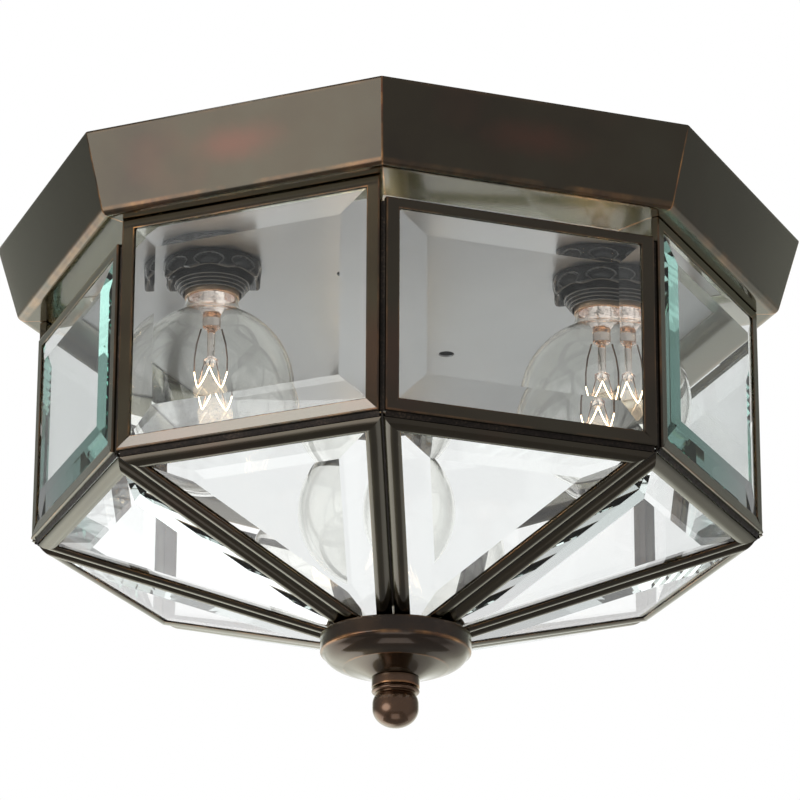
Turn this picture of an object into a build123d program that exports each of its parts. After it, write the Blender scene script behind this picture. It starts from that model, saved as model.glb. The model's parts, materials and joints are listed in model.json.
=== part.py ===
from build123d import *
import math
import os

# Flush mount ceiling light, in millimetres. The origin is the centre of the pan's top rim, in the
# plane of the ceiling, +Z is up, and one corner of the octagon points to the front, towards -Y.
# Azimuths are counted from the front, towards +X, in degrees.

# Ceiling pan: an octagonal tray folded from sheet brass, open at the ceiling
SIDES = 8
PAN_TOP_FLATS = 366.4
PAN_LOW_FLATS = 344.6
PAN_HEIGHT = 39.0
PAN_SHEET = 0.8
PAN_FOLD_RADIUS = 4.0
PAN_LIP = 6.0
PAN_LIP_RADIUS = 1.2
FLANGE_OPENING_FLATS = 280.0

# Reflector plate: lies on the pan's flange and carries the lampholders and the rod
PLATE_LAP = 15.0
PLATE_SHEET = 0.8
MOUNTING_CIRCLE_DIAMETER = 116.0
MOUNTING_HOLE_DIAMETER = 8.0
MOUNTING_AZIMUTH = -22.5

# Cage: upright panels, tall and short in turn, over a shallow pyramid of tapered panels
CAGE_FLATS = 326.8
CAGE_SIDE_DEPTH = 115.6
CAGE_SEAT = 0.3
VENT_HEIGHT = 11.0
LOWER_SLOPE = 19.5
LOWER_END_FLATS = 40.0

# Came: U-channel mitred round each pane and soldered to its neighbours. The upright frames are of
# flat came with a narrow strip along the top, the lower ones of a wider came with a crowned face.
CAME_WIDTH = 6.4
CAME_TOP_WIDTH = 4.8
CAME_LOWER_WIDTH = 7.4
CAME_THICKNESS = 4.0
CAME_CROWN = 0.75
CAME_SHOULDER = 0.7
CAME_LIP = 0.55
CAME_WALL = 0.7
CAME_EDGE_RADIUS = 0.5
CAME_GAP = 0.3
SOLDER_CORNER_RADIUS = 0.9
SOLDER_RIDGE_RADIUS = 1.1
SOLDER_RIB_RADIUS = 0.4
SOLDER_CLEARANCE = 0.1
SOLDER_END = 4.0

# Panes: plate glass with a wide bevel on the outer face
GLASS = 5.0
GLASS_EDGE = 1.8
BEVEL_WIDTH = 15.0
GLASS_INSET = 2.6
GLASS_PLAY = 0.15

# Lampholders: a moulded body through the plate, clamped by a fluted ring from below
HOLDER_NAMES = ("right", "rear", "left")
HOLDER_CIRCLE_DIAMETER = 214.0
HOLDER_AZIMUTH = 67.5
HOLDER_DROP = 15.2
HOLDER_BODY_DIAMETER = 38.0
HOLDER_BODY_HEIGHT = 31.0
HOLDER_SHOULDER_DIAMETER = 43.0
HOLDER_SHOULDER = 3.0
HOLDER_THREAD_DIAMETER = 36.0
HOLDER_MOUTH_STEP = 1.1
HOLDER_MOUTH_STEPS = 3
HOLDER_CLEARANCE = 0.15
RING_DIAMETER = 47.6
RING_HEIGHT = 9.4
RING_CHAMFER = 4.6
RING_FLUTES = 8
RING_FLUTE_RADIUS = 9.5
RING_FLUTE_DEPTH = 2.0
SHELL_WALL = 0.5
SHELL_LENGTH = 22.0
SHELL_CLEARANCE = 0.1
CONTACT_DIAMETER = 8.0
CONTACT_SHEET = 0.8

# Lamps: clear globes on a medium screw base
LAMP_LENGTH = 112.0
GLOBE_DIAMETER = 79.4
GLOBE_WALL = 0.8
GLOBE_NECK_DIAMETER = 24.8
GLOBE_NECK_BLEND = 10.0
BASE_DIAMETER = 26.0
BASE_LENGTH = 27.5
BASE_INSERTION = 25.5
BASE_LAP = 4.0
BASE_CLEARANCE = 0.3
STEM_FLARE_LENGTH = 8.0
STEM_PRESS_DIAMETER = 8.6
STEM_PRESS_LENGTH = 8.0
STEM_ROD_DIAMETER = 3.8
STEM_ROD_LENGTH = 14.0
STEM_BUTTON_DIAMETER = 7.2
STEM_BUTTON_LENGTH = 4.6
FILAMENT_DIAMETER = 15.6
FILAMENT_DROP = 12.5
FILAMENT_WAVE_HEIGHT = 10.0
FILAMENT_SUPPORTS = 3
WIRE_DIAMETER = 0.8
WIRE_SIDES = 6

# Centre rod, its nuts, and the cap and finial that hold the cage up
ROD_DIAMETER = 9.7
ROD_CLEARANCE = 0.45
ROD_ABOVE_PLATE = 16.0
ROD_IN_FINIAL = 14.0
NUT_FLATS = 14.3
NUT_HEIGHT = 5.0
NUT_CLEARANCE = 0.08
WASHER_DIAMETER = 22.0
WASHER_SHEET = 1.2
APEX_DIAMETER = 62.0
APEX_SHEET = 1.0
CAP_DIAMETER = 72.4
CAP_RIM_HEIGHT = 8.0
CAP_RIM_ROUND = 1.0
CAP_BOWL_DIAMETER = 50.0
CAP_BOWL_DEPTH = 15.6
CAP_BOWL_BULGE = 0.9
CAP_FOOT_DIAMETER = 22.8
CAP_DEPTH = 20.6
CAP_WALL = 1.6
CAP_HOLLOW = 0.8
CAP_BOSS_DIAMETER = 17.0
FINIAL_SEAT = 0.1
FINIAL_RING_DIAMETER = 23.0
FINIAL_RING_HEIGHT = 5.0
FINIAL_RING_ROUND = 0.5
FINIAL_BEAD_DIAMETER = 23.0
FINIAL_BEAD_HEIGHT = 2.3
FINIAL_GROOVE_DIAMETER = 18.4
FINIAL_GROOVE_HEIGHT = 0.5
FINIAL_BALL_DIAMETER = 22.2
FINIAL_SHOULDER_HEIGHT = 4.4
FINIAL_BELLY_HEIGHT = 2.4
FINIAL_BOTTOM_HEIGHT = 9.2
FINIAL_BOTTOM_FULLNESS = 0.55

# Places that follow from the sizes
SECTOR = 360.0 / SIDES
HALF_SECTOR = math.radians(SECTOR / 2)
SLOPE = math.radians(LOWER_SLOPE)
CAME_HALF = CAME_THICKNESS / 2
FLANGE_Z = -PAN_HEIGHT
PLATE_Z = FLANGE_Z + PAN_SHEET
PLATE_TOP_Z = PLATE_Z + PLATE_SHEET
CAGE_APOTHEM = CAGE_FLATS / 2 - CAME_HALF
RIDGE_Z = FLANGE_Z - CAGE_SIDE_DEPTH
HOLDER_MOUTH_Z = PLATE_Z - HOLDER_DROP
LAMP_TIP_Z = HOLDER_MOUTH_Z + BASE_INSERTION
HOLDER_ROOF_Z = LAMP_TIP_Z + BASE_CLEARANCE + CONTACT_SHEET
SHELL_INNER_RADIUS = BASE_DIAMETER / 2 + BASE_CLEARANCE
SHELL_OUTER_RADIUS = SHELL_INNER_RADIUS + SHELL_WALL
HOLDER_BORE_RADIUS = SHELL_OUTER_RADIUS + SHELL_CLEARANCE
ROD_RADIUS = ROD_DIAMETER / 2
ROD_HOLE_RADIUS = ROD_RADIUS + ROD_CLEARANCE


def polar(radius, azimuth, height=0.0):
    """The point at an azimuth counted from the front towards the right."""
    turn = math.radians(azimuth)
    return Vector(radius * math.sin(turn), -radius * math.cos(turn), height)


def octagon(flats, thickness):
    """An octagonal slab on the ground plane with a corner to the front."""
    return extrude(RegularPolygon(flats / 2, SIDES, major_radius=False, rotation=-90), thickness)


def turned(*lines):
    """A solid of revolution about Z from a closed outline of radius and height."""
    return revolve(Plane.XZ * make_face(lines), Axis.Z)


def lathe(*points):
    """A turned solid with a straight-sided outline."""
    return turned(Polyline(*points, close=True))


def tube(outer_radius, inner_radius, low, high):
    """A plain turned ring between two heights."""
    return lathe((inner_radius, low), (outer_radius, low), (outer_radius, high), (inner_radius, high))


def save(node, *solids):
    """Writes the solids of one named piece."""
    parts = [solid for group in solids for solid in group.solids()]
    shape = parts[0] if len(parts) == 1 else Compound(parts)
    export_step(shape, f"parts/{node}.step")


def ceiling_pan():
    """The folded tray: one side's section, cut to its sector and repeated round the axis."""
    outside = FilletPolyline(
        (FLANGE_OPENING_FLATS / 2, FLANGE_Z),
        (PAN_LOW_FLATS / 2, FLANGE_Z),
        (PAN_TOP_FLATS / 2, 0),
        (PAN_TOP_FLATS / 2 - PAN_LIP, 0),
        radius=[PAN_FOLD_RADIUS, PAN_LIP_RADIUS],
    )
    section = make_face(offset(outside, PAN_SHEET, side=Side.LEFT))
    reach = PAN_TOP_FLATS
    side = extrude(Plane.XZ * section, reach, both=True)
    wedge_width = reach * math.tan(HALF_SECTOR)
    wedge = Polygon((0, 0), (reach, -wedge_width), (reach, wedge_width), align=None)
    side &= Pos(0, 0, -reach) * extrude(wedge, 2 * reach)
    sides = [Rot(0, 0, SECTOR * (i + 0.5)) * side for i in range(SIDES)]
    return sides[0].fuse(*sides[1:])


def reflector_plate():
    """The octagonal plate with its lampholder, rod and mounting holes."""
    plate = Pos(0, 0, PLATE_Z) * octagon(FLANGE_OPENING_FLATS + 2 * PLATE_LAP, PLATE_SHEET)
    holes = [(polar(0, 0), ROD_HOLE_RADIUS)]
    thread_hole = HOLDER_THREAD_DIAMETER / 2 + HOLDER_CLEARANCE
    holes += [(place, thread_hole) for place in holder_places()]
    for azimuth in (MOUNTING_AZIMUTH, MOUNTING_AZIMUTH + 180):
        holes.append((polar(MOUNTING_CIRCLE_DIAMETER / 2, azimuth), MOUNTING_HOLE_DIAMETER / 2))
    for place, radius in holes:
        plate -= Pos(place.X, place.Y, PLATE_Z) * Cylinder(radius, 4 * PLATE_SHEET)
    return plate


def holder_places():
    """The lampholders' axes, evenly spaced on their circle."""
    step = 360 / len(HOLDER_NAMES)
    return [polar(HOLDER_CIRCLE_DIAMETER / 2, HOLDER_AZIMUTH + step * i) for i in range(len(HOLDER_NAMES))]


def holder_body():
    """The moulded body: shoulder on the plate, threaded neck through it, stepped mouth below."""
    body_radius = HOLDER_BODY_DIAMETER / 2
    thread_radius = HOLDER_THREAD_DIAMETER / 2
    shoulder_z = PLATE_TOP_Z + HOLDER_SHOULDER
    ring_z = PLATE_Z - RING_HEIGHT
    step_drop = (ring_z - HOLDER_MOUTH_Z) / (HOLDER_MOUTH_STEPS + 1)
    steps = []
    for i in range(HOLDER_MOUTH_STEPS):
        z = ring_z - step_drop * (i + 1)
        steps.append((thread_radius - HOLDER_MOUTH_STEP * i, z))
        steps.append((thread_radius - HOLDER_MOUTH_STEP * (i + 1), z))
    mouth_radius = thread_radius - HOLDER_MOUTH_STEP * HOLDER_MOUTH_STEPS
    return lathe(
        (0, shoulder_z + HOLDER_BODY_HEIGHT),
        (body_radius, shoulder_z + HOLDER_BODY_HEIGHT),
        (body_radius, shoulder_z),
        (HOLDER_SHOULDER_DIAMETER / 2, shoulder_z),
        (HOLDER_SHOULDER_DIAMETER / 2, PLATE_TOP_Z),
        (thread_radius, PLATE_TOP_Z),
        *steps,
        (mouth_radius, HOLDER_MOUTH_Z),
        (HOLDER_BORE_RADIUS, HOLDER_MOUTH_Z),
        (HOLDER_BORE_RADIUS, HOLDER_ROOF_Z),
        (0, HOLDER_ROOF_Z),
    )


def holder_ring():
    """The clamping ring: finger flutes round its edge, run out in a conical chamfer."""
    radius = RING_DIAMETER / 2
    hole = HOLDER_THREAD_DIAMETER / 2 + HOLDER_CLEARANCE
    low = PLATE_Z - RING_HEIGHT
    ring = lathe(
        (hole, PLATE_Z),
        (radius, PLATE_Z),
        (radius, low + RING_CHAMFER),
        (radius - RING_CHAMFER, low),
        (hole, low),
    )
    centre = radius + RING_FLUTE_RADIUS - RING_FLUTE_DEPTH
    flute = Pos(centre, 0, low) * Cylinder(RING_FLUTE_RADIUS, 4 * RING_HEIGHT)
    return ring - [Rot(0, 0, 360 / RING_FLUTES * i) * flute for i in range(RING_FLUTES)]


def holder_contacts():
    """The brass screw shell and the centre contact on the body's roof."""
    low = HOLDER_ROOF_Z - CONTACT_SHEET - SHELL_LENGTH
    shell = tube(SHELL_OUTER_RADIUS, SHELL_INNER_RADIUS, low, low + SHELL_LENGTH)
    contact = tube(CONTACT_DIAMETER / 2, 0, HOLDER_ROOF_Z - CONTACT_SHEET, HOLDER_ROOF_Z)
    return [shell, contact]


def globe_line(radius, neck, blend, top):
    """Half the outline of a globe with a short neck, blended by a hollow arc of its own radius."""
    centre = LAMP_TIP_Z - LAMP_LENGTH + GLOBE_DIAMETER / 2
    rise = math.sqrt((radius + blend) ** 2 - (neck + blend) ** 2)
    share = radius / (radius + blend)
    joint = Vector((neck + blend) * share, centre + rise * share)
    blend_centre = Vector(neck + blend, centre + rise)
    middle = (joint + Vector(neck, centre + rise)) / 2 - blend_centre
    return [
        ThreePointArc((0, centre - radius), (radius, centre), joint),
        ThreePointArc(joint, blend_centre + middle.normalized() * blend, (neck, centre + rise)),
        Line((neck, centre + rise), (neck, top)),
    ]


def lamp_globe():
    """The hollow glass globe, open at the neck inside the base."""
    radius = GLOBE_DIAMETER / 2
    neck = GLOBE_NECK_DIAMETER / 2
    top = LAMP_TIP_Z - BASE_LENGTH + BASE_LAP - BASE_CLEARANCE
    outer = globe_line(radius, neck, GLOBE_NECK_BLEND, top)
    inner = globe_line(radius - GLOBE_WALL, neck - GLOBE_WALL, GLOBE_NECK_BLEND + GLOBE_WALL, top)
    bottom = Line(outer[0] @ 0, inner[0] @ 0)
    rim = Line(outer[2] @ 1, inner[2] @ 1)
    return turned(*outer, rim, *inner, bottom)


def lamp_base():
    """The screw base: centre contact, insulator cone and shell, cupped over the globe's neck."""
    radius = BASE_DIAMETER / 2
    contact = CONTACT_DIAMETER / 2
    cup = GLOBE_NECK_DIAMETER / 2 + SHELL_CLEARANCE
    low = LAMP_TIP_Z - BASE_LENGTH
    cone = LAMP_TIP_Z - radius + contact + CONTACT_SHEET
    return lathe(
        (0, LAMP_TIP_Z),
        (contact, LAMP_TIP_Z),
        (contact + CONTACT_SHEET, LAMP_TIP_Z - 2 * CONTACT_SHEET),
        (radius, cone - 2 * CONTACT_SHEET),
        (radius, low),
        (cup, low),
        (cup, low + BASE_LAP),
        (0, low + BASE_LAP),
    )


def stem_levels():
    """Heights down the glass stem: flare, press, rod, button and the button's end."""
    top = LAMP_TIP_Z - BASE_LENGTH
    drops = (0, STEM_FLARE_LENGTH, STEM_PRESS_LENGTH, STEM_ROD_LENGTH, STEM_BUTTON_LENGTH)
    return [top - sum(drops[: i + 1]) for i in range(len(drops))]


def lamp_stem():
    """The glass stem: a flare sealed in the neck, the press, the rod and the button."""
    flare = GLOBE_NECK_DIAMETER / 2 - GLOBE_WALL - BASE_CLEARANCE
    press = STEM_PRESS_DIAMETER / 2
    rod = STEM_ROD_DIAMETER / 2
    button = STEM_BUTTON_DIAMETER / 2
    top, press_z, rod_z, button_z, end_z = stem_levels()
    return lathe(
        (0, top),
        (flare, top),
        (press, press_z),
        (press, rod_z + rod),
        (rod, rod_z),
        (rod, button_z),
        (button, button_z - rod / 2),
        (button, end_z + rod / 2),
        (rod, end_z),
        (0, end_z),
    )


def wire(*points):
    """A thin wire along straight runs with mitred bends."""
    path = Polyline(*points)
    start = Plane(points[0], z_dir=Vector(*points[1]) - Vector(*points[0]))
    section = start * RegularPolygon(WIRE_DIAMETER / 2, WIRE_SIDES)
    return sweep(section, path, transition=Transition.RIGHT)


def lamp_filament():
    """Two leads down from the press and the filament in waves between them, on its supports."""
    _, _, rod_z, button_z, end_z = stem_levels()
    ring = FILAMENT_DIAMETER / 2
    high = end_z - FILAMENT_DROP + FILAMENT_WAVE_HEIGHT
    lead_start = STEM_PRESS_DIAMETER / 2 + WIRE_DIAMETER
    step = 180 / (FILAMENT_SUPPORTS + 1)
    waves = []
    for i in range(FILAMENT_SUPPORTS + 2):
        waves.append(polar(ring, 90 - step * i, high - FILAMENT_WAVE_HEIGHT * (i % 2)))
    run = wire(*waves)
    for side, wave in ((1, waves[0]), (-1, waves[-1])):
        lead = [(side * lead_start, 0, rod_z + WIRE_DIAMETER), (side * ring, 0, button_z), wave]
        run += wire(*lead)
    start = STEM_BUTTON_DIAMETER / 2 + WIRE_DIAMETER / 2
    middle = (button_z + end_z) / 2
    for i in range(1, FILAMENT_SUPPORTS + 1):
        run += wire(polar(start, 90 - step * i, middle), waves[i])
    return run


def centre_rod():
    """The threaded rod from above the plate down into the finial."""
    return tube(ROD_RADIUS, 0, finial_top() - ROD_IN_FINIAL, PLATE_TOP_Z + ROD_ABOVE_PLATE)


def rod_nuts():
    """A washer and a hex nut on each face of the plate."""
    bore = ROD_RADIUS + NUT_CLEARANCE
    pieces = []
    for face, side in ((PLATE_TOP_Z, 1), (PLATE_Z, -1)):
        washer_end = face + side * WASHER_SHEET
        nut_end = washer_end + side * NUT_HEIGHT
        pieces.append(tube(WASHER_DIAMETER / 2, bore, min(face, washer_end), max(face, washer_end)))
        nut = extrude(RegularPolygon(NUT_FLATS / 2, 6, major_radius=False), NUT_HEIGHT)
        nut -= Cylinder(bore, 4 * NUT_HEIGHT)
        pieces.append(Pos(0, 0, min(washer_end, nut_end)) * nut)
    return pieces


def inset(corners, distances):
    """The corners of a convex outline after each side moves inwards by its own distance."""
    moved = []
    for i, corner in enumerate(corners):
        before = (corner - corners[i - 1]).normalized()
        after = (corners[(i + 1) % len(corners)] - corner).normalized()
        turn = before.X * after.Y - before.Y * after.X
        moved.append(corner + (after * distances[i - 1] - before * distances[i]) / turn)
    return moved


def back_offset(dihedral):
    """How far a came's back stays from the line where two panels' middles meet."""
    return CAME_HALF / math.tan(dihedral / 2) + CAME_GAP / 2 / math.sin(dihedral / 2)


def corner_dihedral():
    """The angle inside the cage between neighbouring upright panels."""
    return math.pi - 2 * HALF_SECTOR


def ridge_dihedral():
    """The angle inside the cage between an upright panel and the one below it."""
    return math.pi / 2 + SLOPE


def rib_dihedral():
    """The angle inside the cage between neighbouring lower panels."""
    tilt = math.sin(SLOPE) ** 2 * math.cos(2 * HALF_SECTOR) + math.cos(SLOPE) ** 2
    return math.pi - math.acos(tilt)


def side_outline(top):
    """The outer edge of an upright frame whose top is this far above the ridge."""
    half = CAGE_APOTHEM * math.tan(HALF_SECTOR)
    corners = [Vector(-half, 0), Vector(half, 0), Vector(half, top), Vector(-half, top)]
    corner = back_offset(corner_dihedral())
    return inset(corners, [back_offset(ridge_dihedral()), corner, 0, corner])


def lower_outline():
    """The outer edge of a lower frame, from the ridge down to its narrow end."""
    half_top = CAGE_APOTHEM * math.tan(HALF_SECTOR)
    half_end = LOWER_END_FLATS / 2 * math.tan(HALF_SECTOR)
    length = (CAGE_APOTHEM - LOWER_END_FLATS / 2) / math.cos(SLOPE)
    corners = [
        Vector(-half_end, -length),
        Vector(half_end, -length),
        Vector(half_top, 0),
        Vector(-half_top, 0),
    ]
    rib = back_offset(rib_dihedral())
    return inset(corners, [0, rib, back_offset(ridge_dihedral()), rib])


def side_plane(azimuth):
    """The middle plane of an upright panel, from the ridge, facing out."""
    return Plane(polar(CAGE_APOTHEM, azimuth, RIDGE_Z), x_dir=polar(1, azimuth + 90), z_dir=polar(1, azimuth))


def lower_plane(azimuth):
    """The middle plane of a lower panel, from the ridge, facing out and down."""
    facing = polar(math.sin(SLOPE), azimuth, -math.cos(SLOPE))
    return Plane(polar(CAGE_APOTHEM, azimuth, RIDGE_Z), x_dir=polar(1, azimuth + 90), z_dir=facing)


def came_section(width, crown):
    """The U-channel: back at zero, mouth at its width, outer face flat or crowned."""
    slot = CAME_HALF - CAME_WALL
    shoulder = CAME_SHOULDER if crown else CAME_HALF
    lip = slot + CAME_LIP if crown else CAME_HALF
    channel = Polyline(
        (width, lip),
        (width, slot),
        (CAME_WALL, slot - crown),
        (CAME_WALL, -slot),
        (width, -slot),
        (width, -CAME_HALF),
        (0, -CAME_HALF),
        (0, shoulder),
    )
    if crown:
        face = ThreePointArc((0, shoulder), (width / 2, CAME_HALF + crown), (width, lip))
    else:
        face = Line((0, shoulder), (width, lip))
    section = make_face([channel, face])
    return fillet(section.vertices().group_by(Axis.X)[0], CAME_EDGE_RADIUS)


def came_frame(outline, widths, crown=0.0):
    """The strips of came round an outline, each mitred to its neighbours."""
    mouths = inset(outline, widths)
    strips = []
    count = len(outline)
    for i in range(count):
        after = (i + 1) % count
        start, end = outline[i], outline[after]
        along = (end - start).normalized()
        inwards = Vector(-along.Y, along.X)
        section = Plane(start, x_dir=inwards, z_dir=along) * came_section(widths[i], crown)
        strip = extrude(section, (end - start).length)
        for corner, mouth, keep in ((start, mouths[i], Keep.TOP), (end, mouths[after], Keep.BOTTOM)):
            mitre = mouth - corner
            strip = split(strip, Plane(corner, z_dir=Vector(mitre.Y, -mitre.X)), keep=keep)
        strips.append(strip)
    return strips


def bevelled_pane(frame_outline, widths):
    """Glass in the frame's channel, its outer face bevelled along every side."""
    outline = inset(frame_outline, [width - GLASS_INSET for width in widths])
    back = CAME_WALL + GLASS_PLAY - CAME_HALF
    pane = Pos(0, 0, back) * extrude(make_face(Polyline(*outline, close=True)), GLASS)
    for i, start in enumerate(outline):
        along = (outline[(i + 1) % len(outline)] - start).normalized()
        inwards = Vector(-along.Y, along.X)
        facing = Vector(0, 0, BEVEL_WIDTH) - inwards * (GLASS - GLASS_EDGE)
        edge = start + Vector(0, 0, back + GLASS_EDGE)
        pane = split(pane, Plane(edge, x_dir=along, z_dir=facing), keep=Keep.BOTTOM)
    return pane


def rib_z(apothem):
    """The height of the lower panels' middle planes at an apothem."""
    return RIDGE_Z - (CAGE_APOTHEM - apothem) * math.tan(SLOPE)


def rib_face_z(radius):
    """The height of the ribs' outer faces at a radius along a corner."""
    return rib_z(radius * math.cos(HALF_SECTOR)) - (CAME_HALF + CAME_CROWN) / math.cos(SLOPE)


def bead_offset(dihedral, radius):
    """How far a solder bead lies outside the line where two panels' middles meet."""
    return (radius + SOLDER_CLEARANCE - back_offset(dihedral)) / math.cos(dihedral / 2)


def bead(start, end, radius):
    """A run of solder, short of both ends of its groove."""
    along = (end - start).normalized()
    length = (end - start).length - 2 * SOLDER_END
    place = Plane(start + along * SOLDER_END, z_dir=along)
    return place * Cylinder(radius, length, align=(Align.CENTER, Align.CENTER, Align.MIN))


def solder_seams():
    """Beads in the grooves outside the cage: corners, ridges and ribs."""
    corner_radius = CAGE_APOTHEM / math.cos(HALF_SECTOR)
    corner_out = corner_radius + bead_offset(corner_dihedral(), SOLDER_CORNER_RADIUS)
    ridge_out = bead_offset(ridge_dihedral(), SOLDER_RIDGE_RADIUS)
    ridge_lean = ridge_dihedral() / 2
    ridge_apothem = CAGE_APOTHEM + ridge_out * math.sin(ridge_lean)
    ridge_z = RIDGE_Z - ridge_out * math.cos(ridge_lean)
    rib_out = bead_offset(rib_dihedral(), SOLDER_RIB_RADIUS)
    end_radius = CAP_DIAMETER / 2
    rib_slope = math.atan(math.tan(SLOPE) * math.cos(HALF_SECTOR))
    short_top = FLANGE_Z - VENT_HEIGHT
    ridge_radius = ridge_apothem / math.cos(HALF_SECTOR)
    beads = []
    for i in range(SIDES):
        azimuth = SECTOR * i
        low, high = polar(corner_out, azimuth, RIDGE_Z), polar(corner_out, azimuth, short_top)
        beads.append(bead(low, high, SOLDER_CORNER_RADIUS))
        start, end = polar(ridge_radius, azimuth, ridge_z), polar(ridge_radius, azimuth + SECTOR, ridge_z)
        beads.append(bead(start, end, SOLDER_RIDGE_RADIUS))
        rib_shift = polar(rib_out * math.sin(rib_slope), azimuth, -rib_out * math.cos(rib_slope))
        top = polar(corner_radius, azimuth, RIDGE_Z) + rib_shift
        low = polar(end_radius, azimuth, rib_z(end_radius * math.cos(HALF_SECTOR))) + rib_shift
        beads.append(bead(top, low, SOLDER_RIB_RADIUS))
    return beads


def apex_levels():
    """The apex cup's rim, fold and floor: radii and heights of its upper face."""
    rim = APEX_DIAMETER / 2
    fold = LOWER_END_FLATS / 2 / math.cos(HALF_SECTOR)
    return (rim, rib_face_z(rim) - CAGE_SEAT), (fold, rib_face_z(fold) - CAGE_SEAT)


def apex_cup():
    """The spun dish under the ends of the lower frames, with the rod's hole in its floor."""
    (rim, rim_z), (fold, fold_z) = apex_levels()
    return lathe(
        (ROD_HOLE_RADIUS, fold_z),
        (fold, fold_z),
        (rim, rim_z),
        (rim, rim_z - APEX_SHEET),
        (fold, fold_z - APEX_SHEET),
        (ROD_HOLE_RADIUS, fold_z - APEX_SHEET),
    )


def cap_top():
    """The height of the cap's rim, just under the ribs."""
    return rib_face_z(CAP_DIAMETER / 2) - CAGE_SEAT


def finial_top():
    """The height of the finial's seat under the cap's foot."""
    return cap_top() - CAP_DEPTH - FINIAL_SEAT


def finial_cap():
    """The turned bowl: rim band, rounded bowl, hollow foot, and a boss up to the apex cup."""
    top = cap_top()
    rim = CAP_DIAMETER / 2
    bowl = CAP_BOWL_DIAMETER / 2
    foot = CAP_FOOT_DIAMETER / 2
    boss = CAP_BOSS_DIAMETER / 2
    boss_z = apex_levels()[1][1] - APEX_SHEET
    floor = top - CAP_DEPTH + CAP_WALL
    low_rim = (rim, top - CAP_RIM_HEIGHT)
    shoulder = (rim - CAP_RIM_ROUND, top - CAP_RIM_HEIGHT - CAP_RIM_ROUND)
    bowl_end = (bowl, top - CAP_BOWL_DEPTH)
    foot_end = (foot, top - CAP_DEPTH)
    inside = [
        (ROD_HOLE_RADIUS, top - CAP_DEPTH),
        (ROD_HOLE_RADIUS, boss_z),
        (boss, boss_z),
        (boss, floor),
        (foot, floor),
        (bowl - CAP_WALL, top - CAP_BOWL_DEPTH + CAP_WALL),
        (rim - CAP_WALL, top - CAP_RIM_HEIGHT),
        (rim - CAP_WALL, top),
    ]
    return turned(
        Polyline(foot_end, *inside, (rim, top), low_rim),
        Line(low_rim, shoulder),
        SagittaArc(shoulder, bowl_end, -CAP_BOWL_BULGE),
        SagittaArc(bowl_end, foot_end, CAP_HOLLOW),
    )


def finial():
    """The neck ring, a bead under it and the squat ball, bored from above for the rod."""
    top = finial_top()
    ring = FINIAL_RING_DIAMETER / 2
    bead_half = FINIAL_BEAD_HEIGHT / 2
    bead_radius = FINIAL_BEAD_DIAMETER / 2
    groove = FINIAL_GROOVE_DIAMETER / 2
    ball = FINIAL_BALL_DIAMETER / 2
    bore = ROD_RADIUS + NUT_CLEARANCE
    bore_end = top - ROD_IN_FINIAL - ROD_CLEARANCE
    ring_low = top - FINIAL_RING_HEIGHT
    bead_z = ring_low - FINIAL_GROOVE_HEIGHT - bead_half
    shoulder = (groove, bead_z - bead_half - FINIAL_GROOVE_HEIGHT)
    belly = (ball, shoulder[1] - FINIAL_SHOULDER_HEIGHT)
    waist = (ball, belly[1] - FINIAL_BELLY_HEIGHT)
    bottom = (0, waist[1] - FINIAL_BOTTOM_HEIGHT)
    waist_handle = (ball, waist[1] - FINIAL_BOTTOM_FULLNESS * FINIAL_BOTTOM_HEIGHT)
    bottom_handle = (FINIAL_BOTTOM_FULLNESS * ball, bottom[1])
    neck = Polyline(
        (0, bore_end),
        (bore, bore_end),
        (bore, top),
        (ring - FINIAL_RING_ROUND, top),
        (ring, top - FINIAL_RING_ROUND),
        (ring, ring_low + FINIAL_RING_ROUND),
        (ring - FINIAL_RING_ROUND, ring_low),
        (groove, ring_low),
        (groove, bead_z + bead_half),
        (bead_radius - bead_half, bead_z + bead_half),
    )
    bead_end = (bead_radius - bead_half, bead_z - bead_half)
    return turned(
        neck,
        ThreePointArc(neck @ 1, (bead_radius, bead_z), bead_end),
        Polyline(bead_end, (groove, bead_end[1]), shoulder),
        TangentArc(belly, shoulder, tangent=(0, 1)),
        Line(belly, waist),
        Bezier(waist, waist_handle, bottom_handle, bottom),
        Line(bottom, (0, bore_end)),
    )


def write_base():
    """The pieces that stay on the ceiling."""
    save("ceiling_pan", ceiling_pan())
    save("reflector_plate", reflector_plate())
    save("centre_rod", centre_rod())
    save("rod_nuts", *rod_nuts())


def write_lamps():
    """A lampholder and a lamp at each place."""
    shells = []
    for name, place in zip(HOLDER_NAMES, holder_places()):
        here = Pos(place.X, place.Y, 0)
        save(f"socket_body_{name}", here * holder_body())
        save(f"socket_ring_{name}", here * holder_ring())
        shells += [here * piece for piece in holder_contacts()]
        save(f"lamp_globe_{name}", here * lamp_globe())
        save(f"lamp_base_{name}", here * lamp_base())
        save(f"lamp_stem_{name}", here * lamp_stem())
        save(f"lamp_filament_{name}", here * lamp_filament())
    save("socket_contacts", *shells)


def write_cage():
    """The upright and lower panels round the axis, and what closes the cage below."""
    side_widths = [CAME_WIDTH, CAME_WIDTH, CAME_TOP_WIDTH, CAME_WIDTH]
    lower_widths = [CAME_LOWER_WIDTH] * 4
    for i in range(SIDES):
        azimuth = SECTOR * (i + 0.5)
        short = i % 2 == 0
        top = CAGE_SIDE_DEPTH - (VENT_HEIGHT if short else CAGE_SEAT)
        upright, lower = side_outline(top), lower_outline()
        side, below = side_plane(azimuth), lower_plane(azimuth)
        save(f"side_frame_{i + 1}", *[side * strip for strip in came_frame(upright, side_widths)])
        save(f"side_pane_{i + 1}", side * bevelled_pane(upright, side_widths))
        strips = came_frame(lower, lower_widths, CAME_CROWN)
        save(f"lower_frame_{i + 1}", *[below * strip for strip in strips])
        save(f"lower_pane_{i + 1}", below * bevelled_pane(lower, lower_widths))
    save("solder_seams", *solder_seams())
    save("apex_cup", apex_cup())
    save("finial_cap", finial_cap())
    save("finial", finial())


os.makedirs("parts", exist_ok=True)
write_base()
write_lamps()
write_cage()
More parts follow.
